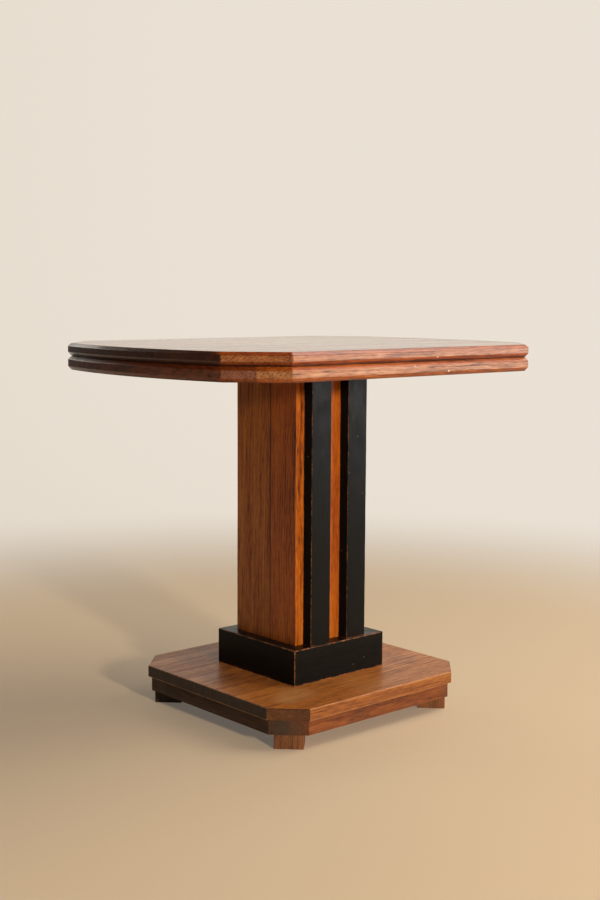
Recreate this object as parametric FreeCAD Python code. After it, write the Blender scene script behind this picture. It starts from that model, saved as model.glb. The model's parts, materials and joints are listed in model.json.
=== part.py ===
import FreeCAD, Part
import math
import os

# A pedestal table of stained oak with ebonised accents. Its top tips up on two pins.
# Millimetres. +Z is up, and the origin is on the floor under the middle of the top.
# X runs along the two straight sides of the top, and the front is the -Y side.

# ---------------------------------------------------------------- overall and top
table_height = 650.0
top_length = 750.0              # over the two bowed ends
top_width = 574.0               # between the two straight sides
end_bow = 27.5                  # swell of each end past its corners
top_clip = 76.0                 # leg of each clipped corner
board_thickness = 22.0
plank_count = 4                 # planks glued into the board, all along X
frame_thickness = 24.0          # mitred frame under the board, seen as the lower band
frame_rail_width = 60.0
edge_depth = 6.0                # depth of every bevel of the two bands
board_upper_bevel = 5.0
board_lower_bevel = 7.0
frame_upper_bevel = 6.0
frame_lower_bevel = 6.5
frame_screw_spread = 200.0      # screws of the long rails, from their middle one
frame_end_screw_spread = 100.0  # screws of the short rails, from their middle

# ---------------------------------------------------------------- base
base_length = 436.0
base_width = 430.0
base_clip = 50.0
base_board_thickness = 20.0
base_plank_count = 3
base_frame_thickness = 26.0
base_frame_inset = 6.0
base_rail_width = 80.0
base_arris = 2.0                # rounding of the board's worn upper arris
base_screw_spread = 90.0        # screws of each base rail, from its middle
foot_height = 25.0
foot_width = 49.0               # across the diagonal
foot_depth = 48.0               # along the diagonal
foot_setback = 4.0              # from the clipped corner of the base frame
foot_arris = 1.5

# ---------------------------------------------------------------- plinth and column
plinth_side_thickness = 23.3
plinth_ledge = 5.25             # of the plinth's front and back, past the slats
plinth_height = 62.0
plinth_arris = 1.5
column_length = 164.4           # along X
column_depth = 158.5            # along Y, without the slats
panel_thickness = 18.0          # column boards
panel_arris = 1.0
side_seam = 67.0                # glued seam of each side, from its front edge
slat_width = 44.4
slat_depth = 20.5
slat_arris = 1.2
end_block_height = 60.0         # solid blocks closing the two ends of the hollow column
end_block_screw_inset = 22.0    # screws into those blocks, from their sides

# ---------------------------------------------------------------- tilting gear
block_thickness = 35.0          # block on the column that carries the pins
block_side_overhang = 11.8      # past the column, on each side
block_rear_overhang = 25.25     # past the rear slats
block_gap = 0.5                 # under the board
swing_clearance = 6.0           # between the tipped frame and the slats
pin_radius = 6.0
pin_embedment = 30.0
pin_running_gap = 0.05          # radial, in the bearers
pin_recess = 0.5                # ends of the pins, inside the bearers' faces
bearer_gap = 1.0                # beside the block
bearer_thickness = 22.0
bearer_rise = 5.5               # underside of the bearers, above that of the block
bearer_end_depth = 14.0
bearer_end_gap = 15.0           # from the frame's rails
bearer_taper = 62.0             # length of each thinner end
bearer_screw_inset = 15.0       # of the last screw, from the taper
bearer_screw_from_pin = 52.0

# ---------------------------------------------------------------- sliding catch
catch_plate_length = 62.0       # along Y
catch_plate_width = 44.0
catch_plate_thickness = 3.0
catch_front_gap = 1.5           # from the keeper to the plate
bolt_width = 14.0
bolt_thickness = 7.0
bolt_gap = 0.3                  # round the bolt in its guides
bolt_standoff = 2.0             # from the keeper when drawn
bolt_tail = 8.0                 # past the rear end of the plate
guide_length = 8.0
guide_wall = 5.0
guide_floor = 2.5
guide_inset = 3.0               # from the ends of the plate
knob_radius = 5.5
knob_stem_radius = 2.5
knob_stem_length = 3.0
knob_inset = 8.0                # from the rear guide
keeper_length = 38.0            # along X
keeper_height = 24.0
keeper_thickness = 2.5
keeper_gap = 0.7                # round the bolt in the keeper
keeper_mortise = 12.0           # depth of the hole behind the keeper

# ---------------------------------------------------------------- fasteners
screw_shank = 2.2
screw_head = 4.2
screw_recess = 0.4              # heads lie this far below the wood
small_shank = 1.4
small_head = 3.2
small_recess = 0.1
small_inset = 4.6               # of small screws from the edges of their plates
frame_screw_length = 34.0
base_frame_screw_length = 38.0
foot_screw_length = 38.0
foot_screw_recess = 8.0
column_screw_length = 50.0
block_screw_length = 60.0
bearer_screw_length = 40.0
catch_screw_length = 13.0
keeper_screw_length = 15.0
nail_shank = 0.9
nail_head = 1.5
nail_length = 34.0
nail_recess = 0.2
nail_inset = 11.0               # from the ends of the plinth boards
nail_edge = 14.0                # from their upper and lower edges

# ---------------------------------------------------------------- levels and places
plinth_length = column_length + 2 * plinth_side_thickness
plinth_width = column_depth + 2 * (slat_depth + plinth_ledge)
base_frame_z = foot_height
base_board_z = base_frame_z + base_frame_thickness
plinth_z = base_board_z + base_board_thickness
plinth_top_z = plinth_z + plinth_height
board_z = table_height - board_thickness
frame_z = board_z - frame_thickness
block_top_z = board_z - block_gap
block_z = block_top_z - block_thickness
block_length = column_length + 2 * block_side_overhang
nose_radius = block_thickness / 2
pivot_z = block_z + nose_radius
slat_front = column_depth / 2 + slat_depth
block_rear = slat_front + block_rear_overhang
pivot_y = -(slat_front + swing_clearance + max(pivot_z - frame_z, 0.0))
bearer_x = block_length / 2 + bearer_gap
bearer_z = block_z + bearer_rise
bearer_half_length = top_width / 2 - frame_rail_width - bearer_end_gap
bearer_flat_half_length = bearer_half_length - bearer_taper
catch_plate_z = board_z - catch_plate_thickness
catch_y = block_rear + keeper_thickness + catch_front_gap
catch_end_y = catch_y + catch_plate_length
bolt_top_z = catch_plate_z - bolt_gap
bolt_z = bolt_top_z - bolt_thickness
bolt_y = block_rear + keeper_thickness + bolt_standoff
rear_guide_y = catch_end_y - guide_inset - guide_length
cutter_margin = 1.0             # how far cutting tools run past what they cut

UP = FreeCAD.Vector(0, 0, 1)
ALONG_X = FreeCAD.Vector(1, 0, 0)
ALONG_Y = FreeCAD.Vector(0, 1, 0)
QUADRANTS = ((1, 1), (-1, 1), (-1, -1), (1, -1))
nodes = {}


# ---------------------------------------------------------------- shaping
def point(x, y, z):
    return FreeCAD.Vector(x, y, z)


def box(x0, x1, y0, y1, z0, z1):
    """A block between two limits on each axis."""
    return Part.makeBox(x1 - x0, y1 - y0, z1 - z0, point(x0, y0, z0))


def prism(corners, direction):
    """A closed outline of straight edges, pushed along a direction."""
    return Part.Face(Part.makePolygon(corners + corners[:1])).extrude(direction)


def near(value, target):
    return abs(value - target) < 0.01


def soften(shape, radius, picks):
    """Round every edge whose middle passes the test."""
    edges = [edge for edge in shape.Edges if picks(edge.CenterOfMass)]
    return shape.makeFillet(radius, edges).Solids[0]


def clipped_corners(half_x, half_y, leg, z):
    """The eight corners of a rectangle with clipped corners, anticlockwise from +X +Y."""
    corners = []
    for side_x, side_y in QUADRANTS:
        on_end = point(side_x * half_x, side_y * (half_y - leg), z)
        on_side = point(side_x * (half_x - leg), side_y * half_y, z)
        corners += [on_end, on_side] if side_x == side_y else [on_side, on_end]
    return corners


def top_outline(inset, z):
    """The top's outline, moved in by the inset on every side: its two ends are arcs."""
    half_x = top_length / 2 - end_bow - inset
    half_y = top_width / 2 - inset
    corners = clipped_corners(half_x, half_y, top_clip - inset * (2 - math.sqrt(2)), z)
    edges = []
    for index, corner in enumerate(corners):
        following = corners[(index + 1) % len(corners)]
        if near(corner.x, following.x):
            crown = point(math.copysign(half_x + end_bow, corner.x), 0, z)
            edges.append(Part.Arc(corner, crown, following).toShape())
        else:
            edges.append(Part.makeLine(corner, following))
    return Part.Wire(edges)


def bevelled_slab(z, thickness, upper, lower):
    """A slab of the top's outline whose edge is half an octagon: bevel, face, bevel."""
    top_z = z + thickness
    levels = ((z, edge_depth), (z + lower, 0.0), (top_z - upper, 0.0), (top_z, edge_depth))
    wires = [top_outline(inset, level) for level, inset in levels]
    layers = [Part.makeLoft(list(pair), True, True) for pair in zip(wires, wires[1:])]
    return layers[0].fuse(layers[1:]).removeSplitter()


def base_slab(inset, z, thickness):
    leg = base_clip - inset * (2 - math.sqrt(2))
    return prism(clipped_corners(base_length / 2 - inset, base_width / 2 - inset, leg, z), UP * thickness)


def add_planks(name, slab, count, width):
    """Cut a slab into the planks that it is glued up from, all along X."""
    limits = slab.BoundBox
    limits.enlarge(cutter_margin)
    for index in range(count):
        y0 = limits.YMin if index == 0 else width * (index / count - 0.5)
        y1 = limits.YMax if index == count - 1 else width * ((index + 1) / count - 0.5)
        nodes[f"{name}_{index + 1}"] = slab.common(
            box(limits.XMin, limits.XMax, y0, y1, limits.ZMin, limits.ZMax))


def add_mitred_frame(name, slab, half_x, half_y, rail):
    """Cut a slab into four rails, whose mitres run from the opening through the corners."""
    limits = slab.BoundBox
    limits.enlarge(cutter_margin)
    reach = limits.XMax - half_x
    inner = [point(a * (half_x - rail), b * (half_y - rail), limits.ZMin) for a, b in QUADRANTS]
    outer = [point(a * (half_x + reach), b * (half_y + reach), limits.ZMin) for a, b in QUADRANTS]
    for index, side in enumerate(("back", "left", "front", "right")):
        following = (index + 1) % len(QUADRANTS)
        corners = [inner[index], inner[following], outer[following], outer[index]]
        nodes[f"{name}_{side}"] = slab.common(prism(corners, UP * limits.ZLength))


def screw(place, direction, length, shank, head):
    """A countersunk screw or nail whose flat head lies at the given place."""
    cone = Part.makeCone(head, shank, head - shank, place, direction)
    return cone.fuse(Part.makeCylinder(shank, length, place, direction))


def drive(places, direction, length, shank, head, recess, pieces):
    """Screws sunk below a surface. The pieces that they hold together get their holes."""
    heads = [place + direction * recess for place in places]
    screws = [screw(spot, direction, length, shank, head) for spot in heads]
    bores = [Part.makeCylinder(head, recess, spot, -direction) for spot in heads]
    for piece in pieces:
        nodes[piece] = nodes[piece].cut(screws + bores)
    return screws


# ---------------------------------------------------------------- base and feet
def add_base():
    board = base_slab(0.0, base_board_z, base_board_thickness)
    board = soften(board, base_arris, lambda middle: near(middle.z, plinth_z))
    add_planks("base_plank", board, base_plank_count, base_width)
    add_mitred_frame("base_rail", base_slab(base_frame_inset, base_frame_z, base_frame_thickness),
                     base_length / 2 - base_frame_inset, base_width / 2 - base_frame_inset, base_rail_width)
    rail_x = base_length / 2 - base_frame_inset - base_rail_width / 2
    rail_y = base_width / 2 - base_frame_inset - base_rail_width / 2
    places = [point(side * base_screw_spread, end * rail_y, base_frame_z) for side, end in QUADRANTS]
    places += [point(end * rail_x, side * base_screw_spread, base_frame_z) for side, end in QUADRANTS]
    held = [name for name in nodes if name.startswith("base_")]
    nodes["base_rail_screws"] = Part.makeCompound(
        drive(places, UP, base_frame_screw_length, screw_shank, screw_head, screw_recess, held))


def add_feet():
    """Blocks set square to the clipped corners, each held by a screw from below."""
    half_x = base_length / 2 - base_frame_inset
    half_y = base_width / 2 - base_frame_inset
    leg = base_clip - base_frame_inset * (2 - math.sqrt(2))
    names = ("foot_back_right", "foot_back_left", "foot_front_left", "foot_front_right")
    screws = []
    for quarter, (name, (side_x, side_y)) in enumerate(zip(names, QUADRANTS)):
        foot = box(-foot_setback - foot_depth, -foot_setback, -foot_width / 2, foot_width / 2,
                   0, foot_height)
        foot = soften(foot, foot_arris, lambda middle: near(middle.z, foot_height / 2))
        foot.rotate(point(0, 0, 0), UP, 45 + 90 * quarter)
        foot.translate(point(side_x * (half_x - leg / 2), side_y * (half_y - leg / 2), 0))
        nodes[name] = foot
        rails = ["base_rail_" + word for word in name.split("_")[1:]]
        place = foot.BoundBox.Center
        place.z = 0
        screws += drive([place], UP, foot_screw_length, screw_shank, screw_head, foot_screw_recess,
                        [name] + rails)
    nodes["foot_screws"] = Part.makeCompound(screws)


# ---------------------------------------------------------------- column and plinth
def add_column():
    """A hollow column: sides of two boards each, front and back boards let in between."""
    half_x = column_length / 2
    half_y = column_depth / 2
    inner_x = half_x - panel_thickness
    inner_y = half_y - panel_thickness
    seam_y = side_seam - half_y
    for side, sign in (("left", -1), ("right", 1)):
        x0, x1 = sorted((sign * inner_x, sign * half_x))
        for half, y0, y1 in (("front", -half_y, seam_y), ("back", seam_y, half_y)):
            board = box(x0, x1, y0, y1, plinth_z, block_z)
            nodes[f"column_{side}_{half}"] = soften(
                board, panel_arris,
                lambda middle: near(middle.x, sign * half_x) and near(abs(middle.y), half_y))
    for side, sign in (("front", -1), ("back", 1)):
        y0, y1 = sorted((sign * inner_y, sign * half_y))
        nodes[f"column_{side}"] = box(-inner_x, inner_x, y0, y1, plinth_z, block_z)
    for name, z0 in (("column_foot_block", plinth_z), ("column_head_block", block_z - end_block_height)):
        nodes[name] = box(-inner_x, inner_x, -inner_y, inner_y, z0, z0 + end_block_height)
    screw_x = inner_x - end_block_screw_inset
    screw_y = inner_y - end_block_screw_inset
    places = [point(a * screw_x, b * screw_y, base_board_z) for a, b in QUADRANTS]
    held = [name for name in nodes if name.startswith("base_plank")] + ["column_foot_block"]
    nodes["column_screws"] = Part.makeCompound(
        drive(places, UP, column_screw_length, screw_shank, screw_head, screw_recess, held))


def add_slats():
    """Black slats over the joints of the column's front and back, standing on the plinth."""
    outer = column_length / 2 - panel_thickness
    middle_z = (plinth_top_z + block_z) / 2
    for side, sign in (("front", -1), ("back", 1)):
        y0, y1 = sorted((sign * column_depth / 2, sign * slat_front))
        for hand, x0 in (("left", -outer), ("right", outer - slat_width)):
            slat = box(x0, x0 + slat_width, y0, y1, plinth_top_z, block_z)
            nodes[f"slat_{side}_{hand}"] = soften(
                slat, slat_arris,
                lambda middle: near(abs(middle.y), slat_front) and near(middle.z, middle_z))


def add_plinth():
    """Four boards nailed round the foot of the column: the front and back run full length."""
    half_x = plinth_length / 2
    half_y = plinth_width / 2

    def worn(middle):
        outside = near(abs(middle.x), half_x) or near(abs(middle.y), half_y)
        upright = near(abs(middle.x), half_x) and near(abs(middle.y), half_y)
        return upright or (near(middle.z, plinth_top_z) and outside)

    front = box(-half_x, half_x, -half_y, -column_depth / 2, plinth_z, plinth_top_z)
    left = box(-half_x, -column_length / 2, -column_depth / 2, column_depth / 2, plinth_z, plinth_top_z)
    for board, names in ((front, ("plinth_front", "plinth_back")), (left, ("plinth_left", "plinth_right"))):
        softened = soften(board, plinth_arris, worn)
        for name, turn in zip(names, (0, 180)):
            nodes[name] = softened.copy()
            nodes[name].rotate(point(0, 0, 0), UP, turn)
    nails = []
    rows = (plinth_z + nail_edge, plinth_top_z - nail_edge)
    ends = (nail_inset - half_x, half_x - nail_inset)
    thirds = ((-plinth_length / 6, rows[1]), (plinth_length / 6, rows[0]))
    for name, sign in (("plinth_front", -1), ("plinth_back", 1)):
        places = [point(x, sign * half_y, z) for x in ends for z in rows]
        places += [point(x, sign * half_y, z) for x, z in thirds]
        held = [name, "plinth_left", "plinth_right", "column_front" if sign < 0 else "column_back"]
        nails += drive(places, ALONG_Y * -sign, nail_length, nail_shank, nail_head, nail_recess, held)
    for name, sign in (("plinth_left", -1), ("plinth_right", 1)):
        places = [point(sign * half_x, y, z) for y, z in zip((-column_depth / 4, column_depth / 4), rows)]
        held = [name] + [f"column_{name.split('_')[1]}_{half}" for half in ("front", "back")]
        nails += drive(places, ALONG_X * -sign, nail_length, nail_shank, nail_head, nail_recess, held)
    nodes["plinth_nails"] = Part.makeCompound(nails)


# ---------------------------------------------------------------- tilting gear
def add_pivot_block():
    """The block screwed on the column. Its front is a half-round nose about the pins' axis."""
    half_x = block_length / 2
    block = box(-half_x, half_x, pivot_y, block_rear, block_z, block_top_z)
    nose = Part.makeCylinder(nose_radius, block_length, point(-half_x, pivot_y, pivot_z), ALONG_X)
    nodes["pivot_block"] = block.fuse(nose).removeSplitter()
    inset = panel_thickness + end_block_screw_inset
    places = [point(a * (column_length / 2 - inset), b * (column_depth / 2 - inset), block_top_z)
              for a, b in QUADRANTS]
    nodes["block_screws"] = Part.makeCompound(
        drive(places, -UP, block_screw_length, screw_shank, screw_head, screw_recess,
              ["pivot_block", "column_head_block"]))


def add_bearers_and_pins():
    """Battens under the board on both sides of the block. They turn on pins fast in the block."""
    flat, end = bearer_flat_half_length, bearer_half_length
    side_view = ((-end, board_z), (end, board_z), (end, board_z - bearer_end_depth), (flat, bearer_z),
                 (-flat, bearer_z), (-end, board_z - bearer_end_depth))
    first = pivot_y + bearer_screw_from_pin
    last = flat - bearer_screw_inset
    screws = []
    for side, sign in (("left", -1), ("right", 1)):
        inner = sign * bearer_x
        outer = sign * (bearer_x + bearer_thickness)
        bearer = prism([point(inner, y, z) for y, z in side_view], ALONG_X * (outer - inner))
        bearing = Part.makeCylinder(pin_radius + pin_running_gap, bearer_thickness,
                                    point(inner, pivot_y, pivot_z), ALONG_X * sign)
        nodes[f"bearer_{side}"] = bearer.cut(bearing)
        pin_start = point(sign * (block_length / 2 - pin_embedment), pivot_y, pivot_z)
        pin_length = abs(outer - pin_start.x) - pin_recess
        pin = Part.makeCylinder(pin_radius, pin_length, pin_start, ALONG_X * sign)
        nodes[f"pivot_pin_{side}"] = pin
        nodes["pivot_block"] = nodes["pivot_block"].cut(pin)
        places = [point((inner + outer) / 2, y, bearer_z) for y in (first, (first + last) / 2, last)]
        planks = [name for name in nodes if name.startswith("top_plank")]
        screws += drive(places, UP, bearer_screw_length, screw_shank, screw_head, screw_recess,
                        [f"bearer_{side}"] + planks)
    nodes["bearer_screws"] = Part.makeCompound(screws)


# ---------------------------------------------------------------- sliding catch
def add_catch():
    """A plate with two guides under the board, and a flat bolt that slides to the keeper."""
    half_plate = catch_plate_width / 2
    half_slot = bolt_width / 2 + bolt_gap
    plate = box(-half_plate, half_plate, catch_y, catch_end_y, catch_plate_z, board_z)
    for y0 in (catch_y + guide_inset, rear_guide_y):
        guide = box(-half_slot - guide_wall, half_slot + guide_wall, y0, y0 + guide_length,
                    bolt_z - bolt_gap - guide_floor, catch_plate_z)
        slot = box(-half_slot, half_slot, y0 - cutter_margin, y0 + guide_length + cutter_margin,
                   bolt_z - bolt_gap, catch_plate_z)
        plate = plate.fuse(guide.cut(slot))
    nodes["catch_plate"] = plate.removeSplitter()
    corner_x = half_plate - small_inset
    corner_y = (catch_y + small_inset, catch_end_y - small_inset)
    places = [point(side * corner_x, y, catch_plate_z) for side in (-1, 1) for y in corner_y]
    planks = [name for name in nodes if name.startswith("top_plank")]
    nodes["catch_screws"] = Part.makeCompound(
        drive(places, UP, catch_screw_length, small_shank, small_head, small_recess,
              ["catch_plate"] + planks))
    nodes["catch_bolt"] = box(-bolt_width / 2, bolt_width / 2, bolt_y, catch_end_y + bolt_tail,
                              bolt_z, bolt_top_z)
    knob_y = rear_guide_y - knob_inset
    drop = knob_stem_length + knob_radius
    stem = Part.makeCylinder(knob_stem_radius, drop, point(0, knob_y, bolt_z), -UP)
    ball = Part.makeSphere(knob_radius, point(0, knob_y, bolt_z - drop))
    nodes["catch_knob"] = stem.fuse(ball)


def add_keeper():
    """A plate on the rear of the pivot block, over the hole that the bolt shoots into."""
    half_x = keeper_length / 2
    half_slot = bolt_width / 2 + keeper_gap
    bottom = block_top_z - keeper_height
    hole = box(-half_slot, half_slot, block_rear - keeper_mortise,
               block_rear + keeper_thickness + cutter_margin, bolt_z - keeper_gap, bolt_top_z + keeper_gap)
    keeper = box(-half_x, half_x, block_rear, block_rear + keeper_thickness, bottom, block_top_z)
    nodes["catch_keeper"] = keeper.cut(hole)
    nodes["pivot_block"] = nodes["pivot_block"].cut(hole)
    places = [point(side * (half_x - small_inset), block_rear + keeper_thickness, bottom + small_inset)
              for side in (-1, 1)]
    nodes["keeper_screws"] = Part.makeCompound(
        drive(places, -ALONG_Y, keeper_screw_length, small_shank, small_head, small_recess,
              ["catch_keeper", "pivot_block"]))


# ---------------------------------------------------------------- top
def add_top():
    """A board of glued planks, and under it a mitred frame with the same edge."""
    add_planks("top_plank", bevelled_slab(board_z, board_thickness, board_upper_bevel, board_lower_bevel),
               plank_count, top_width)
    half_x = top_length / 2 - end_bow
    half_y = top_width / 2
    slab = bevelled_slab(frame_z, frame_thickness, frame_upper_bevel, frame_lower_bevel)
    add_mitred_frame("frame_rail", slab, half_x, half_y, frame_rail_width)
    rail_x = half_x - frame_rail_width / 2
    rail_y = half_y - frame_rail_width / 2
    places = [point(x, side * rail_y, frame_z) for side in (-1, 1)
              for x in (-frame_screw_spread, 0, frame_screw_spread)]
    places += [point(a * rail_x, b * frame_end_screw_spread, frame_z) for a, b in QUADRANTS]
    held = [name for name in nodes if name.startswith(("top_plank", "frame_rail"))]
    nodes["frame_screws"] = Part.makeCompound(
        drive(places, UP, frame_screw_length, screw_shank, screw_head, screw_recess, held))


add_base()
add_feet()
add_column()
add_slats()
add_plinth()
add_top()
add_pivot_block()
add_bearers_and_pins()
add_catch()
add_keeper()

os.makedirs("parts", exist_ok=True)
for name, shape in nodes.items():
    shape.exportStep(f"parts/{name}.step")
    print(f"{name}: {len(shape.Solids)} solid(s), {shape.Volume / 1000:.1f} cm3")
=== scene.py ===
"""A tilt top table of oak: a base on four feet, a boxed column with black slats, and a top that tips up."""
import json
import math

import bmesh
import bpy
from mathutils import Matrix, Vector

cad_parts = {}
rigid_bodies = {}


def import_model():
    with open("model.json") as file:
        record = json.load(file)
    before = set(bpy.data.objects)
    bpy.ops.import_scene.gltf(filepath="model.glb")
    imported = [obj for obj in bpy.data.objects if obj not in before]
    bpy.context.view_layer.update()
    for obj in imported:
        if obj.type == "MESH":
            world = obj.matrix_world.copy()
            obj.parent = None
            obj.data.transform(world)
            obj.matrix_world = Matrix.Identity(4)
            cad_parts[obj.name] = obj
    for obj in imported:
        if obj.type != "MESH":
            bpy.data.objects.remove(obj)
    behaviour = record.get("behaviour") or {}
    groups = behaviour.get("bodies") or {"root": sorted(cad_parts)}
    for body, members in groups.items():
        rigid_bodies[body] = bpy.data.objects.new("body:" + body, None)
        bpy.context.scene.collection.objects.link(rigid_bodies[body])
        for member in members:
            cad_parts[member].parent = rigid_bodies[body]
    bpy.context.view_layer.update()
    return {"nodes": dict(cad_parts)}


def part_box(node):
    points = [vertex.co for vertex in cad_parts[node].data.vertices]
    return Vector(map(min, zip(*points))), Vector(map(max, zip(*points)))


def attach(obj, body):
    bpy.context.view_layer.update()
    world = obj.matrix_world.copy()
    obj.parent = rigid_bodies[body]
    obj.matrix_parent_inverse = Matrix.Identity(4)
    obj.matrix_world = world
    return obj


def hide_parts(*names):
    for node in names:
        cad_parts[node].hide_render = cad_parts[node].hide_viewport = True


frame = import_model()
cad = frame["nodes"]


# ---------------------------------------------------------------- feet
# Four small blocks of oak, screwed up into the base's mitred corners. They were stained brown with the rest,
# and years on the floor have left them dull and dirty.
def linear(colour):
    """A colour written as sRGB hex, in the linear values that a shader takes."""
    parts = [int(colour[place:place + 2], 16) / 255 for place in (0, 2, 4)]
    return [part / 12.92 if part <= 0.04045 else ((part + 0.055) / 1.055) ** 2.4 for part in parts] + [1.0]


def add(tree, kind, sockets=(), **settings):
    """Add one node with its settings. Its sockets, in order or by name, take values or nodes' outputs."""
    new = tree.nodes.new("ShaderNode" + kind)
    for setting, value in settings.items():
        setattr(new, setting, value)
    for socket, value in sockets.items() if isinstance(sockets, dict) else enumerate(sockets):
        if isinstance(value, bpy.types.Node):
            value = [output for output in value.outputs if output.enabled][0]
        if isinstance(value, bpy.types.NodeSocket):
            tree.links.new(value, new.inputs[socket])
        else:
            new.inputs[socket].default_value = value
    return new


def finish_named(name):
    """A new material with an empty node tree."""
    material = bpy.data.materials.new(name)
    material.use_nodes = True
    material.node_tree.nodes.clear()
    return material, material.node_tree


SMOOTH = {"interpolation_type": "SMOOTHSTEP"}
PAINT = {"data_type": "RGBA"}
TINT = {"data_type": "RGBA", "blend_type": "MULTIPLY"}
WAVE_LENGTH = 0.314


def arris(tree, place, low, high, width):
    """A mask of a board's arrises, from its two corners: 1 at the edges, 0 beyond a ragged width."""
    middle = (Vector(low) + Vector(high)) / 2
    half = (Vector(high) - Vector(low)) / 2
    size = add(tree, "VectorMath", (add(tree, "VectorMath", (place, middle), operation="SUBTRACT"),),
               operation="ABSOLUTE")
    depth = add(tree, "SeparateXYZ", (add(tree, "VectorMath", (half, size), operation="SUBTRACT"),))
    across, along, down = depth.outputs
    lower = add(tree, "Math", (across, along), operation="MINIMUM")
    upper = add(tree, "Math", (across, along), operation="MAXIMUM")
    upper = add(tree, "Math", (upper, down), operation="MINIMUM")
    second = add(tree, "Math", (lower, upper), operation="MAXIMUM")
    ragged = add(tree, "TexNoise", {"Vector": place, "Scale": 160.0, "Detail": 3.0})
    ragged = add(tree, "MapRange", (ragged, 0.3, 0.7, 0.2 * width, 1.4 * width))
    return add(tree, "MapRange", (second, 0.0, ragged, 1.0, 0.0))


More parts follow.
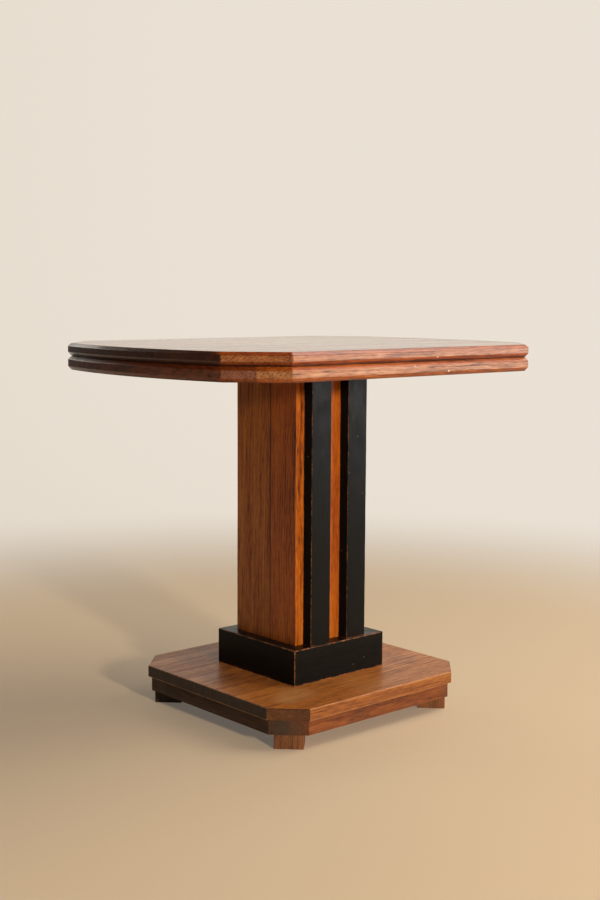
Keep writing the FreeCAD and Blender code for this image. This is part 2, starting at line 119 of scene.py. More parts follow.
def oak(name, grain, pith, tones, ring=0.0042, figured=0.16, pored=0.6, contrast=1.0,
        end=(0.35, 0.34, 0.33), end_from=0.55, rough=0.42, gloss=0.5, coat=0.25, flat_coat=None,
        coat_rough=0.2, painted_light_and_fading=(), dirt_and_shade_line=None, edges=None, marks=()):
    """Stained and polished oak. Its rings lie round a pith outside the board, along the grain.

    A ring is a year's growth. Figured, pored and contrast say how strongly rings, pores and streaks show.
    End is the tint of end grain, on faces that look along the grain by end_from or more.
    painted_light_and_fading tints faces by the way they point, as painted light and shade and as a real
    fading. A dirt_and_shade_line
    is a dark line beside the next board: dirt in a seam, painted shade in a groove or under a bevel. Edges
    are rubbed pale, and marks are chips and patches, some of them painted shadow.
    """
    material, tree = finish_named(name)
    place = add(tree, "TexCoord")
    at = place.outputs["Object"]
    facing = add(tree, "VectorMath", (place.outputs["Normal"],), operation="ABSOLUTE")
    facing = add(tree, "SeparateXYZ", (facing,))
    # A bevel on an end is end grain too, so a face that leans up or down counts for more.
    leaning = add(tree, "Math", (facing.outputs["Z"], 0.7, 1.0), operation="MULTIPLY_ADD")
    ends = add(tree, "Math", (facing.outputs[grain], leaning), operation="MULTIPLY")
    ends = add(tree, "MapRange", (ends, end_from, 1.0), **SMOOTH)
    stretch = {length: [length if axis == grain else 1.0 for axis in "XYZ"] for length in (5.0, 9.0, 22.0)}
    tilt = [0.0 if axis == grain else 0.014 for axis in "XYZ"]
    # Growth rings, 3 to 6 mm apart: porous dark early wood that fades to late wood. A wave texture of scale 1
    # has its rings WAVE_LENGTH apart.
    log = add(tree, "Mapping", {"Vector": at, "Location": pith, "Rotation": tilt, "Scale": stretch[9.0]},
              vector_type="TEXTURE")
    rings = add(tree, "TexWave", {"Vector": log, "Scale": WAVE_LENGTH / ring, "Distortion": 16.0,
                                  "Detail": 5.0, "Detail Scale": 0.13, "Detail Roughness": 0.7},
                wave_type="RINGS", rings_direction=grain, wave_profile="SAW")
    early = add(tree, "MapRange", (rings.outputs["Fac"], 0.0, 0.55), **SMOOTH)
    # Bands of faster and slower growth, about 12 mm wide.
    fine = add(tree, "Mapping", {"Vector": at, "Location": pith, "Scale": stretch[22.0]},
               vector_type="TEXTURE")
    bands = add(tree, "TexNoise", {"Vector": fine, "Scale": 85.0, "Detail": 2.0})
    # Fibres: fine streaks, 1 to 2 mm wide. Real ones are finer and would not show.
    streaks = add(tree, "TexNoise", {"Vector": fine, "Scale": 420.0, "Detail": 4.0, "Roughness": 0.65})
    # Pores: short dark dashes, drawn 0.8 mm wide where real ones are 0.3 mm.
    dashes = add(tree, "TexNoise", {"Vector": fine, "Scale": 1150.0, "Detail": 1.0})
    pores = add(tree, "MapRange", (dashes, 0.55, 0.66), **SMOOTH)
    porous = add(tree, "Math", (early, -0.6, 1.0), operation="MULTIPLY_ADD")
    pores = add(tree, "Math", (pores, porous), operation="MULTIPLY")
    # Flecks: short ragged patches, 3 mm wide, where the fibres rise and dip.
    short = add(tree, "Mapping", {"Vector": at, "Location": pith, "Scale": stretch[5.0]},
                vector_type="TEXTURE")
    flecks = add(tree, "TexNoise", {"Vector": short, "Scale": 260.0, "Detail": 3.0, "Roughness": 0.6})
    # Broad clouds of lighter and darker wood and stain.
    clouds = add(tree, "TexNoise", {"Vector": short, "Scale": 17.0, "Detail": 3.0})
    # On the ends the rings are crossed by so many pores that they hardly show.
    figure = add(tree, "Math", (early, figured, 0.5 - 0.5 * figured), operation="MULTIPLY_ADD")
    figure = add(tree, "Mix", {0: ends, 2: figure, 3: 0.5})
    for layer, share in ((bands, 0.8 * contrast), (streaks, 1.5 * contrast), (flecks, 0.9 * contrast),
                         (clouds, 0.8 * contrast)):
        centred = add(tree, "Math", (layer, share, -0.5 * share), operation="MULTIPLY_ADD")
        figure = add(tree, "Math", (figure, centred), operation="ADD")
    wood = add(tree, "ValToRGB", (figure,))
    stops = wood.color_ramp.elements
    stops[1].position = 1.0
    stops.new(0.5)
    for stop, tone in zip(stops, tones):
        stop.color = linear(tone)
    depth = add(tree, "Math", (pores, pored), operation="MULTIPLY")
    colour = add(tree, "Mix", {0: depth, 6: wood, 7: linear(tones[0])}, **TINT)
    # End grain drinks more stain than the faces do. On the end rails, which are painted dark as painted
    # shade, the tint is above 1 and lightens their cut corners again.
    colour = add(tree, "Mix", {0: ends, 6: colour, 7: (*end, 1.0)}, **TINT)
    for axis, least, most, painted_tint in painted_light_and_fading:
        # Faces, edges and bevels are tinted by the way they point. This is painted light and shade, and on
        # the top's flat a real fading.
        over = add(tree, "MapRange", (facing.outputs[axis], least - 0.06, least + 0.06), **SMOOTH)
        under = add(tree, "MapRange", (facing.outputs[axis], most - 0.06, most + 0.06, 1.0, 0.0), **SMOOTH)
        face = add(tree, "Math", (over, under), operation="MULTIPLY")
        colour = add(tree, "Mix", {0: face, 6: colour, 7: (*painted_tint, 1.0)}, **TINT)
    if edges:
        low, high, width, strength = edges
        worn = add(tree, "Math", (arris(tree, at, low, high, width), strength), operation="MULTIPLY")
        colour = add(tree, "Mix", {0: worn, 6: colour, 7: linear("B98A5A")}, **PAINT)
    if dirt_and_shade_line:
        # A dark line where this board meets the next: dirt in the column's seams, and painted shade in the
        # groove under the top's moulding and under the frame's lower bevel.
        axis, line, width, dirt_and_shade = dirt_and_shade_line
        gap = add(tree, "Math", (add(tree, "SeparateXYZ", (at,)).outputs[axis], line), operation="SUBTRACT")
        gap = add(tree, "Math", (gap,), operation="ABSOLUTE")
        gap = add(tree, "MapRange", (gap, 0.3 * width, width, dirt_and_shade, 0.0), **SMOOTH)
        colour = add(tree, "Mix", {0: gap, 6: colour, 7: linear("140A04")}, **PAINT)
    for spot, size, tone, strength in marks:
        # A chip filled with plaster, a rubbed or dirty patch, or a patch of painted shadow: its rim is
        # ragged, as the flecks run.
        away = add(tree, "VectorMath", (at, spot), operation="DISTANCE")
        ragged = add(tree, "Math", (flecks, 1.6, 0.2), operation="MULTIPLY_ADD")
        away = add(tree, "Math", (away, ragged), operation="MULTIPLY")
        mark = add(tree, "MapRange", (away, 0.4 * size, size, strength, 0.0), **SMOOTH)
        colour = add(tree, "Mix", {0: mark, 6: colour, 7: linear(tone)}, **PAINT)
    height = add(tree, "Math", (pores, -0.8, figure), operation="MULTIPLY_ADD")
    relief = add(tree, "Bump", {"Height": height, "Strength": 0.3, "Distance": 0.0004})
    polish = add(tree, "MapRange", (figure, 0.2, 0.9, rough + 0.08, rough - 0.06))
    if flat_coat:
        # The flat top was polished again, and its edges weren't.
        coat = add(tree, "MapRange", (facing.outputs["Z"], 0.85, 0.97, coat, flat_coat), **SMOOTH)
    surface = add(tree, "BsdfPrincipled", {"Base Color": colour, "Roughness": polish, "IOR": 1.5,
                                           "Specular IOR Level": gloss,
                                           "Coat Weight": coat,
                                           "Coat Roughness": coat_rough, "Coat IOR": 1.5, "Normal": relief})
    add(tree, "OutputMaterial", (surface,))
    return material


def cover(node, material):
    """Give a CAD piece its finish."""
    cad[node].data.materials.clear()
    cad[node].data.materials.append(material)


FOOT_TONES = ("4A2C18", "7A4C2C", "925E38")
# The back left foot's much darker tones are painted shade.
PAINTED_SHADE_FOOT_TONES = ("1C120B", "32221A", "402C20")
for number, name in enumerate(("foot_front_left", "foot_front_right", "foot_back_left", "foot_back_right")):
    tones = PAINTED_SHADE_FOOT_TONES if name == "foot_back_left" else FOOT_TONES
    cover(name, oak("dirty_and_painted_shade_stained_oak_" + name, "Z", (0.03 * number, 0.02, -0.06), tones, rough=0.6,
                    coat=0.0, gloss=0.3, contrast=0.8))


# ---------------------------------------------------------------- base
# A mitred frame of four oak rails under a board of three glued oak planks, screwed together from below. The
# board overhangs the frame by 6 mm, and its top arris is rubbed. Everything is stained brown and polished.
# The end rails, whose grain runs along Y, get much darker tones than the front and back: painted shade.
RAIL_TONES_AND_PAINTED_SHADE = {"X": ("4C220A", "7E4218", "985A28"), "Y": ("1E1007", "38200F", "482C16")}
RAIL_ENDS = {"X": (0.26, 0.32, 0.4), "Y": (1.7, 1.8, 1.9)}
# Each mark is its middle, its reach, its colour and its strength.
SCUFFS = (((-0.19, -0.187, 0.036), 0.03, "3A3028", 0.55), ((0.18, -0.209, 0.03), 0.04, "3A2416", 0.4),
          ((-0.05, -0.209, 0.03), 0.03, "3A2416", 0.3), ((-0.212, 0.1, 0.03), 0.04, "15100C", 0.4))
for number, (side, grain) in enumerate((("front", "X"), ("left", "Y"), ("right", "Y"), ("back", "X"))):
    cover("base_rail_" + side,
          oak("stained_oak_base_rail_" + side, grain, (0.09, 0.11, -0.05 - 0.02 * number), RAIL_TONES_AND_PAINTED_SHADE[grain],
              contrast=0.85, end=RAIL_ENDS[grain], end_from=0.3, rough=0.55, gloss=0.35, coat=0.0,
              marks=SCUFFS))

BASE_TONES = ("4E2408", "A05A22", "C07A34")
# The flat of the board is painted lighter, as painted light from above, and its upright edges darker, as
# painted shade.
BASE_PAINTED_LIGHT_AND_SHADE = (("Z", 0.85, 2, (1.25, 1.35, 1.3)), ("Z", -1, 0.2, (0.8, 0.8, 0.65)))
# Feet have rubbed it pale in front of the plinth. The dark patches left of the plinth and behind its left
# corner are painted shadow of the plinth, and polish has gathered in the one at the right front.
RUBBED_AND_SHADOWED = (((-0.13, -0.135, 0.071), 0.045, "C08A52", 0.45), ((-0.165, -0.15, 0.071), 0.03, "C8945C", 0.4),
          ((0.0, -0.17, 0.071), 0.05, "B87C40", 0.3), ((-0.17, 0.02, 0.071), 0.05, "3C1E0C", 0.35),
          ((-0.12, 0.15, 0.071), 0.06, "3C1E0C", 0.3), ((0.16, -0.1, 0.071), 0.045, "4A260E", 0.3))
base_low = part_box("base_plank_1")[0]
base_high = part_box("base_plank_3")[1]
for number in (1, 2, 3):
    cover(f"base_plank_{number}",
          oak(f"polished_oak_base_plank_{number}", "X", (0.03 * number, -0.2 + 0.13 * number, -0.09),
              BASE_TONES, figured=0.14, contrast=0.9, end=(0.08, 0.08, 0.08), end_from=0.2, rough=0.45,
              gloss=0.4, coat=0.1, coat_rough=0.22, painted_light_and_fading=BASE_PAINTED_LIGHT_AND_SHADE,
              edges=(base_low, base_high, 0.0018, 0.6), marks=RUBBED_AND_SHADOWED))


# ---------------------------------------------------------------- column
# A hollow box of oak boards round two inner blocks. Each side is two boards side by side, and the front and
# back boards are let in between them. Stained warm brown and polished.
def start(name, low, high):
    """A block between two corners, in edit mode."""
    bpy.ops.object.select_all(action="DESELECT")
    bpy.ops.mesh.primitive_cube_add(size=1, location=(Vector(low) + Vector(high)) / 2,
                                    scale=Vector(high) - Vector(low))
    piece = bpy.context.object
    piece.name = name
    bpy.ops.object.transform_apply(location=True, rotation=True, scale=True)
    bpy.ops.object.mode_set(mode="EDIT")
    return piece


def saw(point, normal, clear=True):
    """Cut the piece being edited along a plane, and drop what lies on the side of the normal."""
    bpy.ops.mesh.select_all(action="SELECT")
    bpy.ops.mesh.bisect(plane_co=point, plane_no=normal, use_fill=clear, clear_outer=clear,
                        threshold=0.000001)


def pick(piece, kind, test):
    """Select only the vertices, edges or faces that pass the test."""
    bpy.ops.mesh.select_mode(type={"verts": "VERT", "edges": "EDGE", "faces": "FACE"}[kind])
    bpy.ops.mesh.select_all(action="DESELECT")
    mesh = bmesh.from_edit_mesh(piece.data)
    for part in getattr(mesh, kind):
        part.select_set(test(part))
    mesh.select_flush_mode()
    bmesh.update_edit_mesh(piece.data)


def sharp(edge):
    """Whether two faces meet at this edge by more than 25 degrees."""
    return len(edge.link_faces) == 2 and edge.calc_face_angle(0.0) > math.radians(25)


def smooth(piece):
    """Leave edit mode, and shade the flats flat and the eased edges round."""
    bpy.ops.object.mode_set(mode="OBJECT")
    bpy.ops.object.select_all(action="DESELECT")
    piece.select_set(True)
    bpy.context.view_layer.objects.active = piece
    bpy.ops.object.shade_smooth_by_angle(angle=math.radians(35))
    weight = piece.modifiers.new("flats", "WEIGHTED_NORMAL")
    weight.keep_sharp = True
    bpy.ops.object.modifier_apply(modifier=weight.name)


def duplicate(piece, name):
    """A copy with its own mesh, in edit mode."""
    bpy.ops.object.select_all(action="DESELECT")
    piece.select_set(True)
    bpy.context.view_layer.objects.active = piece
    bpy.ops.object.duplicate()
    copy = bpy.context.object
    copy.name = name
    bpy.ops.object.mode_set(mode="EDIT")
    return copy


def wobble(offset, seed):
    """Move the selected points a little at random, as wear does."""
    bpy.ops.transform.vertex_random(offset=offset, uniform=1.0, normal=0.0, seed=seed)


def place_piece(piece, node, body, material):
    """Stand a finished piece in for its CAD node."""
    piece.data.materials.clear()
    piece.data.materials.append(material)
    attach(piece, body)
    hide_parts(node)


NEAR = 1e-5
SKIN = 0.0001
BOARD_STATIONS = 12
EASED = 0.0008
EASED_WOBBLE = 0.00015
COLUMN_TONES = {"left_back": ("5C2806", "B4641A", "CE8630"), "left_front": ("5C2406", "BC6014", "D47C24"),
                "right_back": ("70350A", "B4641A", "CA822E"), "right_front": ("70300A", "BC6014", "D07A22"),
                "front": ("843808", "B05410", "C46A1C"), "back": ("843808", "B05410", "C46A1C")}
# The wide faces, which look along X, are painted darker and browner than the narrow ones, as painted
# shade, and the boards nearer the front are the redder.
BACK_PAINTED_SHADE = (0.62, 0.545, 0.52)
FRONT_PAINTED_SHADE = (0.6, 0.53, 0.49)
column_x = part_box("column_right_front")[1].x
seam_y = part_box("column_left_front")[1].y
for number, (side, tones) in enumerate(COLUMN_TONES.items()):
    low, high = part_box("column_" + side)
    at_side = "_" in side
    board = start("oak_column_" + side, low, high)
    for station in range(1, BOARD_STATIONS):
        saw((0, 0, low.z + (high.z - low.z) * station / BOARD_STATIONS), (0, 0, 1), clear=False)
    if at_side:
        # The outer arrises are taken off with a plane, and so are the edges that meet at the joint.
        pick(board, "edges", lambda edge: all(abs(abs(v.co.x) - column_x) < NEAR for v in edge.verts)
             and abs(edge.verts[0].co.y - edge.verts[1].co.y) < NEAR)
        bpy.ops.mesh.bevel(offset=EASED, segments=2, profile=0.5, affect="EDGES")
        pick(board, "verts", lambda v: column_x - EASED + SKIN < abs(v.co.x) < column_x - SKIN
             and low.z < v.co.z < high.z)
        wobble(EASED_WOBBLE, number)
    smooth(board)
    place_piece(board, "column_" + side, "stand",
                oak("polished_oak_column_" + side, "Z", (-0.19 + 0.05 * number, 0.12, 0), tones, ring=0.006,
                    figured=0.2, pored=0.75, contrast=1.25, rough=0.42, gloss=0.3, coat=0.05, coat_rough=0.3,
                    painted_light_and_fading=[("X", 0.85, 2, BACK_PAINTED_SHADE if "back" in side else FRONT_PAINTED_SHADE)],
                    dirt_and_shade_line=("Y", seam_y, 0.0022, 0.75) if at_side else None))
# The two blocks inside, sawn and left bare, which the column's boards are glued round.
for name in ("column_foot_block", "column_head_block"):
    cover(name, oak("sawn_oak_" + name, "Z", (0.2, 0.1, 0), ("8A6A45", "A98658", "C4A473"), rough=0.7,
                    coat=0.0))


# ---------------------------------------------------------------- plinth and slats
# Oak boards nailed round the foot of the column, and oak slats glued on its front and back. Both are
# ebonised: stained black and lacquered, rubbed through to bare orange wood on the arrises, with pale specks.
def ebonised(name, grain, low, high, width, wear):
    """Black lacquer over oak, between two corners whose arrises are worn."""
    material, tree = finish_named(name)
    place = add(tree, "TexCoord")
    at = place.outputs["Object"]
    fine = add(tree, "Mapping", {"Vector": at, "Scale": [14.0 if axis == grain else 1.0 for axis in "XYZ"]},
               vector_type="TEXTURE")
    streaks = add(tree, "TexNoise", {"Vector": fine, "Scale": 500.0, "Detail": 4.0, "Roughness": 0.6})
    clouds = add(tree, "TexNoise", {"Vector": at, "Scale": 28.0, "Detail": 4.0})
    tone = add(tree, "MapRange", (streaks, 0.35, 0.7), **SMOOTH)
    colour = add(tree, "Mix", {0: tone, 6: linear("080706"), 7: linear("12110E")}, **PAINT)
    # Thin places where the brown wood shows through the black.
    thin = add(tree, "MapRange", (clouds, 0.6, 0.8, 0.0, 0.5), **SMOOTH)
    colour = add(tree, "Mix", {0: thin, 6: colour, 7: linear("26170C")}, **PAINT)
    patchy = add(tree, "TexNoise", {"Vector": at, "Scale": 45.0, "Detail": 2.0})
    patchy = add(tree, "MapRange", (patchy, 0.35, 0.6, 0.15 * wear, wear), **SMOOTH)
    worn = add(tree, "Math", (arris(tree, at, low, high, width), patchy), operation="MULTIPLY")
    colour = add(tree, "Mix", {0: worn, 6: colour, 7: linear("A2683E")}, **PAINT)
    # Pale specks of dried polish and dust, 1 to 2 mm across.
    specks = add(tree, "TexVoronoi", {"Vector": at, "Scale": 55.0, "Randomness": 1.0})
    specks = add(tree, "MapRange", (specks, 0.05, 0.085, 0.6, 0.0), **SMOOTH)
    rare = add(tree, "TexNoise", {"Vector": at, "Scale": 23.0, "Detail": 0.0})
    rare = add(tree, "MapRange", (rare, 0.64, 0.7), **SMOOTH)
    specks = add(tree, "Math", (specks, rare), operation="MULTIPLY")
    colour = add(tree, "Mix", {0: specks, 6: colour, 7: linear("776C58")}, **PAINT)
    relief = add(tree, "Bump", {"Height": streaks, "Strength": 0.35, "Distance": 0.0003})
    mottle = add(tree, "Math", (clouds, streaks), operation="MULTIPLY")
    polish = add(tree, "MapRange", (mottle, 0.15, 0.35, 0.4, 0.28))
    if grain == "Z":
        # The sides of a slat, beside the orange wood, never got the polish that its face did.
        beside = add(tree, "VectorMath", (place.outputs["Normal"],), operation="ABSOLUTE")
        polish = add(tree, "Mix", {0: add(tree, "SeparateXYZ", (beside,)), 2: polish, 3: 0.9})
    surface = add(tree, "BsdfPrincipled", {"Base Color": colour, "Roughness": polish, "IOR": 1.5,
                                           "Specular IOR Level": 0.125, "Normal": relief})
    add(tree, "OutputMaterial", (surface,))
    return material


# Wear reaches about 2 mm in from an arris, and a little less on the slats, which fewer feet have met.
plinth_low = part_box("plinth_front")[0]
plinth_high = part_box("plinth_back")[1]
for side, grain in (("front", "X"), ("back", "X"), ("left", "Y"), ("right", "Y")):
    cover("plinth_" + side,
          ebonised("ebonised_oak_plinth_" + side, grain, plinth_low, plinth_high, 0.0024, 1.0))
SLAT_STATIONS = 18
WORN = 0.0012
WORN_WOBBLE = 0.0002
FIRST_SLAT_SEED = 20
for number, name in enumerate(("slat_front_left", "slat_front_right", "slat_back_left", "slat_back_right")):
    low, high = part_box(name)
    outer = low.y if "front" in name else high.y
    slat = start("black_" + name, low, high)
    for station in range(1, SLAT_STATIONS):
        saw((0, 0, low.z + (high.z - low.z) * station / SLAT_STATIONS), (0, 0, 1), clear=False)
    pick(slat, "edges", lambda edge: all(abs(v.co.y - outer) < NEAR for v in edge.verts)
         and abs(edge.verts[0].co.x - edge.verts[1].co.x) < NEAR)
    bpy.ops.mesh.bevel(offset=WORN, segments=3, profile=0.5, affect="EDGES")
    pick(slat, "verts", lambda v: SKIN < abs(v.co.y - outer) < WORN - SKIN and low.z < v.co.z < high.z)
    wobble(WORN_WOBBLE, FIRST_SLAT_SEED + number)
    smooth(slat)
    place_piece(slat, name, "stand",
                ebonised("ebonised_oak_" + name, "Z", low, high, 0.0016, 0.7))


# ---------------------------------------------------------------- fasteners
# Countersunk steel wood screws, set a little below the wood, and fine steel nails in the plinth. Their bare
# heads have gone dull brown-grey with age.
def metal(name, tone, dark, rough):
    """Bare metal with an even skin of tarnish."""
    material, tree = finish_named(name)
    at = add(tree, "TexCoord").outputs["Object"]
    stain = add(tree, "TexNoise", {"Vector": at, "Scale": 180.0, "Detail": 5.0, "Roughness": 0.7})
    clean = add(tree, "MapRange", (stain, 0.35, 0.65), **SMOOTH)
    colour = add(tree, "Mix", {0: clean, 6: linear(dark), 7: linear(tone)}, **PAINT)
    relief = add(tree, "Bump", {"Height": stain, "Strength": 0.2, "Distance": 0.0002})
    polish = add(tree, "MapRange", (stain, 0.3, 0.7, rough + 0.15, rough - 0.05))
    surface = add(tree, "BsdfPrincipled", {"Base Color": colour, "Metallic": 1.0, "Roughness": polish,
                                           "Normal": relief})
    add(tree, "OutputMaterial", (surface,))
    return material


dull_steel = metal("dull_steel_screws", "8C8780", "4A4038", 0.45)
for name in cad:
    if name.endswith("_screws") and not name.startswith(("catch", "keeper")):
        cover(name, dull_steel)
cover("plinth_nails", metal("blackened_steel_nails", "3A332C", "1E1A16", 0.55))


# ---------------------------------------------------------------- tilting gear
# A beech block screwed on the column, with a half-round nose, and two beech battens screwed under the top
# beside it. They turn on two steel pins in the block. The beech is planed and bare, and has yellowed.
def beech(name, grain):
    """Planed beech with no finish, and its small brown flecks."""
    material, tree = finish_named(name)
    at = add(tree, "TexCoord").outputs["Object"]
    fine = add(tree, "Mapping", {"Vector": at, "Scale": [12.0 if axis == grain else 1.0 for axis in "XYZ"]},
               vector_type="TEXTURE")
    streaks = add(tree, "TexNoise", {"Vector": fine, "Scale": 260.0, "Detail": 4.0})
    flecks = add(tree, "TexNoise", {"Vector": fine, "Scale": 1300.0, "Detail": 0.0})
    flecks = add(tree, "MapRange", (flecks, 0.6, 0.7, 0.0, 0.6), **SMOOTH)
    tone = add(tree, "MapRange", (streaks, 0.3, 0.7), **SMOOTH)
    colour = add(tree, "Mix", {0: tone, 6: linear("A9794B"), 7: linear("CDA273")}, **PAINT)
    colour = add(tree, "Mix", {0: flecks, 6: colour, 7: linear("8C5C34")}, **PAINT)
    relief = add(tree, "Bump", {"Height": streaks, "Strength": 0.2, "Distance": 0.0003})
    surface = add(tree, "BsdfPrincipled", {"Base Color": colour, "Roughness": 0.62, "Normal": relief})
    add(tree, "OutputMaterial", (surface,))
    return material


cover("pivot_block", beech("planed_beech_block", "X"))
bearer_beech = beech("planed_beech_bearers", "Y")
cover("bearer_left", bearer_beech)
cover("bearer_right", bearer_beech)
pin_steel = metal("turned_steel_pins", "A5A39C", "7C776E", 0.3)
cover("pivot_pin_left", pin_steel)
cover("pivot_pin_right", pin_steel)


# ---------------------------------------------------------------- catch
# A brass plate with two guides, a flat brass bolt with a turned knob, and a brass keeper on the block. Cast
# and filed brass, with patches of brown tarnish.
brass = metal("tarnished_brass", "C49A4E", "7A5A2C", 0.32)
for name in ("catch_plate", "catch_bolt", "catch_knob", "catch_keeper", "catch_screws", "keeper_screws"):
    cover(name, brass)


# ---------------------------------------------------------------- top
# Four oak planks glued into one board, and a mitred oak frame under it. The same moulding runs round both: a
# bevel, a face and a bevel. The corners are cut off, and the ends swell outwards in a shallow curve.
END_SWELL = 0.0275
CORNER_CUT = 0.076
MOULDING_DEPTH = 0.006
BOARD_BEVELS = (0.007, 0.005)
FRAME_BEVELS = (0.0065, 0.006)
ARRIS = 0.0009
END_STATIONS = 12
LENGTH_STATIONS = 8
STATION_LENGTH = 0.033
top_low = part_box("top_plank_1")[0]
top_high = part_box("top_plank_4")[1]
half_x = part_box("top_plank_3")[1].x - END_SWELL
half_y = top_high.y
chord = half_y - CORNER_CUT
radius = (chord ** 2 + END_SWELL ** 2) / (2 * END_SWELL)


def moulded_slab(name, low_z, high_z, bevels):
    """A slab with cut corners and swelling ends, whose edge is half an octagon."""
    lower, upper = bevels
    slab = start(name, (-half_x, -half_y, low_z + lower), (half_x, half_y, high_z - upper))
    for x in (-1, 1):
        for y in (-1, 1):
            saw((x * (half_x - CORNER_CUT), y * half_y, 0), Vector((x, y, 0)).normalized())
    for station in range(1 - END_STATIONS, END_STATIONS):
        saw((0, chord * station / END_STATIONS, 0), (0, 1, 0), clear=False)
    for station in range(END_STATIONS):
        y = chord * station / END_STATIONS
        swell = math.sqrt(radius ** 2 - y ** 2) - radius + END_SWELL
        for x in (-1, 1):
            pick(slab, "verts", lambda v: abs(abs(v.co.y) - y) < NEAR and abs(v.co.x - x * half_x) < NEAR)
            bpy.ops.transform.translate(value=(x * swell, 0, 0))
    for sign, depth in ((1, upper), (-1, lower)):
        pick(slab, "faces", lambda face: face.normal.z * sign > 0.9)
        bpy.ops.mesh.inset(thickness=MOULDING_DEPTH, depth=depth, use_even_offset=True)
    for station in range(-LENGTH_STATIONS, LENGTH_STATIONS + 1):
        saw((STATION_LENGTH * station, 0, 0), (1, 0, 0), clear=False)
    pick(slab, "edges", sharp)
    bpy.ops.mesh.bevel(offset=ARRIS, segments=2, profile=0.5, affect="EDGES")
    bpy.ops.object.mode_set(mode="OBJECT")
    return slab


PLANKS = 4
TOP_TONES = (("54220A", "A4541E", "C4743A"), ("4E200A", "9C5220", "BC703C"), ("5A260C", "AA5A22", "CA7A40"),
             ("50220C", "A05420", "C0743C"))
# The flat top has faded to a plain brown. The bevels are painted a deeper red, as painted shade, and the
# upright faces paler, as painted sheen.
TOP_FADING_AND_PAINTED_LIGHT = (("Z", 0.9, 2, (0.72, 1.1, 2.4)), ("Z", 0.35, 0.9, (0.95, 0.68, 0.3)),
              ("Z", -1, 0.35, (0.95, 1.22, 1.8)))
# Three small chips on the front edge, each with its middle, its reach, its colour and its strength.
PLASTER = "E8D9BE"
TOP_CHIPS = (((0.0412, -0.287, 0.6342), 0.0023, PLASTER, 1.0),)
FRAME_CHIPS = (((0.0682, -0.287, 0.611), 0.0022, PLASTER, 1.0),
               ((-0.0124, -0.287, 0.6215), 0.0013, PLASTER, 1.0))
board = moulded_slab("board", top_low.z, top_high.z, BOARD_BEVELS)
for number in range(PLANKS):
    plank = duplicate(board, f"oak_plank_{number + 1}")
    if number > 0:
        saw((0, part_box(f"top_plank_{number + 1}")[0].y, 0), (0, -1, 0))
    if number < PLANKS - 1:
        saw((0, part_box(f"top_plank_{number + 1}")[1].y, 0), (0, 1, 0))
    smooth(plank)
    # The dark line along each plank's underside is painted shade in the groove between the two mouldings.
    place_piece(plank, f"top_plank_{number + 1}", "top",
                oak(f"polished_oak_top_plank_{number + 1}", "X", (0.02 * number, -0.3 + 0.11 * number, 0.56),
                    TOP_TONES[number], figured=0.26, pored=0.85, contrast=1.2, end=(0.17, 0.12, 0.09),
                    end_from=0.6, rough=0.36, gloss=0.4, coat=0.4, flat_coat=0.6, coat_rough=0.12,
                    painted_light_and_fading=TOP_FADING_AND_PAINTED_LIGHT, dirt_and_shade_line=("Z", top_low.z + 0.0005, 0.004, 0.8),
                    marks=TOP_CHIPS if number == 0 else ()))
bpy.data.objects.remove(board)

# The end rails, whose grain runs along Y, get much darker tones than the front and back: painted shade.
FRAME_TONES_AND_PAINTED_SHADE = {"X": ("5A260C", "AA5E28", "C87E44"), "Y": ("2E120A", "5C2E17", "743C21")}
FRAME_ENDS = {"X": (0.75, 0.85, 1.0), "Y": (2.4, 2.9, 3.4)}
frame_low, frame_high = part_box("frame_rail_front")
inner_x = -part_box("frame_rail_left")[1].x
inner_y = -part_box("frame_rail_front")[1].y

# The frame is screwed up into the board, and each screw's head is let into the rail a little. The screws
# stand far apart, so points that lie close together, seen from below, are one screw's.
SCREW_REACH = 0.012
HEAD_RADIUS = 0.0044
HEAD_DEPTH = 0.00045
DRILL_LENGTH = 0.002
screw_places = []
for vertex in cad["frame_screws"].data.vertices:
    near = [place for place in screw_places if (place[0].xy - vertex.co.xy).length < SCREW_REACH]
    if near:
        near[0].append(vertex.co.copy())
    else:
        screw_places.append([vertex.co.copy()])
screw_places = [Vector((min(co.x for co in place) + max(co.x for co in place),
                        min(co.y for co in place) + max(co.y for co in place))) / 2 for place in screw_places]


def drill(rail, places):
    """Sink a shallow round recess into the rail's underside at each screw."""
    bpy.ops.object.mode_set(mode="OBJECT")
    bpy.ops.object.select_all(action="DESELECT")
    for x, y in places:
        bpy.ops.mesh.primitive_cylinder_add(vertices=32, radius=HEAD_RADIUS, depth=DRILL_LENGTH,
                                            location=(x, y, frame_low.z + HEAD_DEPTH - DRILL_LENGTH / 2))
        bpy.context.object.name = "drill"
    drills = [thing for thing in bpy.context.scene.objects if thing.name.startswith("drill")]
    for thing in drills:
        thing.select_set(True)
    bpy.ops.object.join()
    cutter = bpy.context.object
    cut = rail.modifiers.new("recesses", "BOOLEAN")
    cut.object = cutter
    bpy.context.view_layer.objects.active = rail
    bpy.ops.object.modifier_apply(modifier=cut.name)
    bpy.data.objects.remove(cutter)


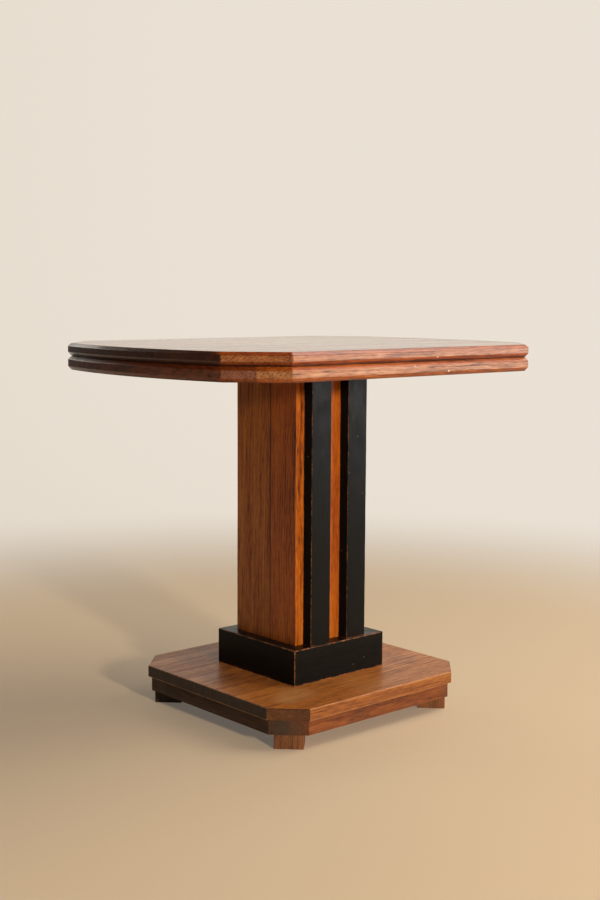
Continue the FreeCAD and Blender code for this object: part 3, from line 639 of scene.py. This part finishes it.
ring = moulded_slab("frame", frame_low.z, frame_high.z, FRAME_BEVELS)
for number, (side, grain, outward) in enumerate((("front", "X", (0, -1)), ("left", "Y", (-1, 0)),
                                                 ("right", "Y", (1, 0)), ("back", "X", (0, 1)))):
    rail = duplicate(ring, "oak_rail_" + side)
    x, y = outward
    saw((x * inner_x, y * inner_y, 0), (-x, -y, 0))
    for turn in (-1, 1):
        corner = (inner_x * (x if x else turn), inner_y * (y if y else turn), 0)
        away = Vector((-x + (0 if x else turn), -y + (0 if y else turn), 0)).normalized()
        saw(corner, away)
    drill(rail, screw_places)
    smooth(rail)
    # The dark line along each rail's underside is painted shade under its lower bevel.
    place_piece(rail, "frame_rail_" + side, "top",
                oak("polished_oak_frame_rail_" + side, grain, (0.1, -0.35 + 0.13 * number, 0.55),
                    FRAME_TONES_AND_PAINTED_SHADE[grain], figured=0.26, pored=0.85, contrast=1.2, end=FRAME_ENDS[grain],
                    end_from=0.5, rough=0.38, gloss=0.4, coat=0.3 if grain == "X" else 0.0,
                    painted_light_and_fading=TOP_FADING_AND_PAINTED_LIGHT[1:],
                    dirt_and_shade_line=("Z", frame_low.z, 0.004, 0.4), marks=FRAME_CHIPS if side == "front" else ()))
bpy.data.objects.remove(ring)


# ---------------------------------------------------------------- studio
# A plain pale floor that turns up into an even backdrop all round. A low key lamp stands in front, a soft
# window to the right and a faint fill behind, under a broad light and a sky that is bright beyond the back.
FLOOR_RADIUS = 2.4
FLOOR_TONE = "DCC19A"
WALL_LEFT = "D6C9B8"
WALL_RIGHT = "EAE1D4"


def stage_material(name, near_glow):
    """A pale sheet, lit evenly in the distance and by the lamps near the table."""
    material, tree = finish_named(name)
    at = add(tree, "TexCoord").outputs["Object"]
    side = add(tree, "MapRange", (add(tree, "SeparateXYZ", (at,)), -2.5, 2.5), **SMOOTH)
    tone = add(tree, "Mix", {0: side, 6: linear(WALL_LEFT), 7: linear(WALL_RIGHT)}, **PAINT)
    glow = add(tree, "Emission", {"Color": tone, "Strength": 1.0})
    floor = add(tree, "BsdfPrincipled", {"Base Color": linear(FLOOR_TONE), "Roughness": 0.85})
    away = add(tree, "VectorMath", (at,), operation="LENGTH")
    far = add(tree, "MapRange", (away, 0.8, 2.2, near_glow, 1.0), **SMOOTH)
    add(tree, "OutputMaterial", (add(tree, "MixShader", (far, floor, glow)),))
    return material


bpy.ops.object.select_all(action="DESELECT")
bpy.ops.mesh.primitive_circle_add(vertices=128, radius=FLOOR_RADIUS, fill_type="NGON")
floor = bpy.context.object
floor.name = "studio_floor"
floor.data.materials.append(stage_material("matt_pale_floor", 0.15))
bpy.ops.mesh.primitive_circle_add(vertices=128, radius=FLOOR_RADIUS, fill_type="NOTHING")
backdrop = bpy.context.object
backdrop.name = "studio_backdrop"
bpy.ops.object.mode_set(mode="EDIT")
bpy.ops.mesh.select_all(action="SELECT")
SWEEP = 1.2
STEPS = 12
for step in range(STEPS):
    before = math.radians(90 * step / STEPS)
    after = math.radians(90 * (step + 1) / STEPS)
    growth = (FLOOR_RADIUS + SWEEP * math.sin(after)) / (FLOOR_RADIUS + SWEEP * math.sin(before))
    bpy.ops.mesh.extrude_edges_move(
        TRANSFORM_OT_translate={"value": (0, 0, SWEEP * (math.cos(before) - math.cos(after)))})
    bpy.ops.transform.resize(value=(growth, growth, 1))
bpy.ops.mesh.extrude_edges_move(TRANSFORM_OT_translate={"value": (0, 0, 4.0)})
bpy.ops.object.mode_set(mode="OBJECT")
bpy.ops.object.shade_smooth()
backdrop.data.materials.append(stage_material("even_pale_backdrop", 1.0))
backdrop.visible_diffuse = False
backdrop.visible_glossy = False
backdrop.visible_shadow = False


def lamp(name, azimuth, elevation, distance, aim, size, power, colour):
    """A square soft lamp, placed round the point that it is aimed at."""
    turn = math.radians(azimuth)
    rise = math.radians(elevation)
    back = Vector((math.sin(turn) * math.cos(rise), -math.cos(turn) * math.cos(rise), math.sin(rise)))
    bpy.ops.object.light_add(type="AREA", location=Vector(aim) + back * distance,
                             rotation=back.to_track_quat("Z", "Y").to_euler())
    light = bpy.context.object
    light.name = name
    light.data.shape = "RECTANGLE"
    light.data.size, light.data.size_y = size
    light.data.energy = power
    light.data.color = linear(colour)[:3]
    light.visible_camera = False


lamp("key", -14.0, 13.5, 4.0, (0, 0, 0.35), (0.3, 0.3), 112, "FFEFDA")
lamp("window", 45.0, 1.0, 3.3, (0, 0, 0.4), (1.5, 0.75), 19, "FBFAF8")
lamp("fill", 188.0, 22.0, 3.3, (0, 0, 0.3), (1.6, 1.2), 14, "FFF6EA")
lamp("sky", 58.0, 50.0, 3.0, (0, 0, 0.1), (2.2, 2.2), 62, "FFF6EA")

world = bpy.data.worlds.new("soft_sky")
bpy.context.scene.world = world
world.use_nodes = True
sky = world.node_tree
sky.nodes.clear()
facing = add(sky, "VectorMath", (add(sky, "TexCoord").outputs["Generated"], (0.66, 0.75, 0.0)),
             operation="DOT_PRODUCT")
bright = add(sky, "MapRange", (facing, 0.72, 0.97, 0.06, 1.0), **SMOOTH)
add(sky, "OutputWorld", (add(sky, "Background", {"Color": linear("FFF6E8"), "Strength": bright}),))


# ---------------------------------------------------------------- camera
# A normal lens a little above the height of the top, held nearly level, towards a corner of the table.
CAMERA_PLACE = (-1.5775, -1.7810, 0.7357)
FOCAL_LENGTH = 53.9
FILM_WIDTH = 36
AZIMUTH = math.radians(-41.475)
PITCH = math.radians(6.621)
ROLL = math.radians(0.316)
forward = Vector((-math.sin(AZIMUTH), math.cos(AZIMUTH), 0))
right = Vector((math.cos(AZIMUTH), math.sin(AZIMUTH), 0))
ahead = forward * math.cos(PITCH) - Vector((0, 0, math.sin(PITCH)))
upward = forward * math.sin(PITCH) + Vector((0, 0, math.cos(PITCH)))
across = right * math.cos(ROLL) + upward * math.sin(ROLL)
upward = upward * math.cos(ROLL) - right * math.sin(ROLL)
bpy.ops.object.camera_add()
camera = bpy.context.object
turned = Matrix((across, upward, -ahead)).transposed().to_4x4()
camera.matrix_world = Matrix.Translation(CAMERA_PLACE) @ turned
camera.data.sensor_width = FILM_WIDTH
camera.data.lens = FOCAL_LENGTH
bpy.context.scene.camera = camera
bpy.context.scene.view_settings.view_transform = "Standard"
